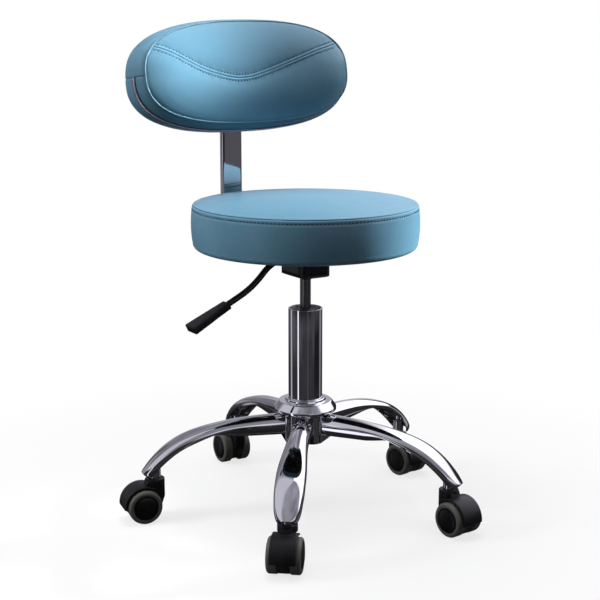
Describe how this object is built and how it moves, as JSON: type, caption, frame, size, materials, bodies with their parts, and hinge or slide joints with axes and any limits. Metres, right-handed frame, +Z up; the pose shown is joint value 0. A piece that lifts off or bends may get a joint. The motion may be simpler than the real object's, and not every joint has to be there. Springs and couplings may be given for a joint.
{
  "type": "dentist stool",
  "caption": "Swivel stool with a round padded seat, an oval backrest on a flat bar, a gas lift with a release lever and a star base on casters.",
  "frame": {"origin": "on the floor under the column axis", "axes": "+Z up, -Y the way the sitter faces, -X towards the lever"},
  "size_m": [0.5078, 0.5155, 0.7179],
  "materials": {
    "chrome": "polished plating",
    "steel": "turned, bare",
    "brass": "turned",
    "black_paint": "satin black",
    "black_plastic": "fine grained",
    "grey_tyre": "smooth, matt",
    "plywood": "bare",
    "blue_vinyl": "glossy, light grain"
  },
  "bodies": {
    "base": {"base_hub": "chrome", "column_tube": "chrome", "guide_bush": "black_plastic", "thrust_bearing": "steel", "caster_stems": "steel", "leg_1": "chrome", "leg_2": "chrome", "leg_3": "chrome", "leg_4": "chrome", "leg_5": "chrome"},
    "piston": {"piston_rod": "steel", "piston": "brass", "retaining_clip": "steel"},
    "seat": {"gas_cylinder": "black_paint", "rod_guide": "black_plastic", "lift_bracket": "black_paint", "seat_plate": "black_paint", "lever_pin": "steel", "bolts": "steel", "seat_board": "plywood", "seat_cushion": "blue_vinyl", "back_bar": "chrome", "back_board": "plywood", "back_cushion": "blue_vinyl"},
    "lever": {"lever_rod": "black_paint", "lever_grip": "black_plastic"},
    "release_pin": {"release_pin": "steel"},
    "caster_1": {"caster_hood_1": "black_plastic", "caster_axle_1": "steel"},
    "wheel_left_1": {"wheel_left_1": "black_plastic", "tyre_left_1": "grey_tyre"},
    "wheel_right_1": {"wheel_right_1": "black_plastic", "tyre_right_1": "grey_tyre"},
    "caster_2": {"caster_hood_2": "black_plastic", "caster_axle_2": "steel"},
    "wheel_left_2": {"wheel_left_2": "black_plastic", "tyre_left_2": "grey_tyre"},
    "wheel_right_2": {"wheel_right_2": "black_plastic", "tyre_right_2": "grey_tyre"},
    "caster_3": {"caster_hood_3": "black_plastic", "caster_axle_3": "steel"},
    "wheel_left_3": {"wheel_left_3": "black_plastic", "tyre_left_3": "grey_tyre"},
    "wheel_right_3": {"wheel_right_3": "black_plastic", "tyre_right_3": "grey_tyre"},
    "caster_4": {"caster_hood_4": "black_plastic", "caster_axle_4": "steel"},
    "wheel_left_4": {"wheel_left_4": "black_plastic", "tyre_left_4": "grey_tyre"},
    "wheel_right_4": {"wheel_right_4": "black_plastic", "tyre_right_4": "grey_tyre"},
    "caster_5": {"caster_hood_5": "black_plastic", "caster_axle_5": "steel"},
    "wheel_left_5": {"wheel_left_5": "black_plastic", "tyre_left_5": "grey_tyre"},
    "wheel_right_5": {"wheel_right_5": "black_plastic", "tyre_right_5": "grey_tyre"}
  },
  "joints": [
    {"name": "seat_swivel", "type": "hinge", "parent": "base", "child": "piston", "pos_m": [0, 0, 0.106], "axis": [0, 0, 1], "continuous": true},
    {"name": "seat_lift", "type": "slide", "parent": "piston", "child": "seat", "axis": [0, 0, 1], "range_m": [-0.03, 0.09]},
    {"name": "lever_pull", "type": "hinge", "parent": "seat", "child": "lever", "pos_m": [-0.014, 0, 0.3824], "axis": [0, 1, 0], "range_deg": [0, 8], "stiffness_Nm_per_rad": 1.5, "springref_deg": -2.86},
    {"name": "release_press", "type": "slide", "parent": "seat", "child": "release_pin", "axis": [0, 0, 1], "range_m": [-0.0021, 0]},
    {"name": "caster_swivel_1", "type": "hinge", "parent": "base", "child": "caster_1", "pos_m": [-0.1416, -0.17486, 0.05], "axis": [0, 0, 1], "continuous": true},
    {"name": "wheel_spin_left_1", "type": "hinge", "parent": "caster_1", "child": "wheel_left_1", "pos_m": [-0.15472, -0.18995, 0.025], "axis": [0.7547, -0.6561, 0], "continuous": true},
    {"name": "wheel_spin_right_1", "type": "hinge", "parent": "caster_1", "child": "wheel_right_1", "pos_m": [-0.15472, -0.18995, 0.025], "axis": [0.7547, -0.6561, 0], "continuous": true},
    {"name": "caster_swivel_2", "type": "hinge", "parent": "base", "child": "caster_2", "pos_m": [0.12254, -0.1887, 0.05], "axis": [0, 0, 1], "continuous": true},
    {"name": "wheel_spin_left_2", "type": "hinge", "parent": "caster_2", "child": "wheel_left_2", "pos_m": [0.12463, -0.20859, 0.025], "axis": [0.9945, 0.1045, 0], "continuous": true},
    {"name": "wheel_spin_right_2", "type": "hinge", "parent": "caster_2", "child": "wheel_right_2", "pos_m": [0.12463, -0.20859, 0.025], "axis": [0.9945, 0.1045, 0], "continuous": true},
    {"name": "caster_swivel_3", "type": "hinge", "parent": "base", "child": "caster_3", "pos_m": [0.21733, 0.05823, 0.05], "axis": [0, 0, 1], "continuous": true},
    {"name": "wheel_spin_left_3", "type": "hinge", "parent": "caster_3", "child": "wheel_left_3", "pos_m": [0.21977, 0.03838, 0.025], "axis": [0.9925, 0.1219, 0], "continuous": true},
    {"name": "wheel_spin_right_3", "type": "hinge", "parent": "caster_3", "child": "wheel_right_3", "pos_m": [0.21977, 0.03838, 0.025], "axis": [0.9925, 0.1219, 0], "continuous": true},
    {"name": "caster_swivel_4", "type": "hinge", "parent": "base", "child": "caster_4", "pos_m": [0.01178, 0.22469, 0.05], "axis": [0, 0, 1], "continuous": true},
    {"name": "wheel_spin_left_4", "type": "hinge", "parent": "caster_4", "child": "wheel_left_4", "pos_m": [0.01282, 0.24466, 0.025], "axis": [-0.9986, 0.0523, 0], "continuous": true},
    {"name": "wheel_spin_right_4", "type": "hinge", "parent": "caster_4", "child": "wheel_right_4", "pos_m": [0.01282, 0.24466, 0.025], "axis": [-0.9986, 0.0523, 0], "continuous": true},
    {"name": "caster_swivel_5", "type": "hinge", "parent": "base", "child": "caster_5", "pos_m": [-0.21006, 0.08063, 0.05], "axis": [0, 0, 1], "continuous": true},
    {"name": "wheel_spin_left_5", "type": "hinge", "parent": "caster_5", "child": "wheel_left_5", "pos_m": [-0.22969, 0.08445, 0.025], "axis": [-0.1908, -0.9816, 0], "continuous": true},
    {"name": "wheel_spin_right_5", "type": "hinge", "parent": "caster_5", "child": "wheel_right_5", "pos_m": [-0.22969, 0.08445, 0.025], "axis": [-0.1908, -0.9816, 0], "continuous": true}
  ],
  "couplings": [
    {"joint": "release_press", "follows": "lever_pull", "m_per_rad": -0.014}
  ]
}
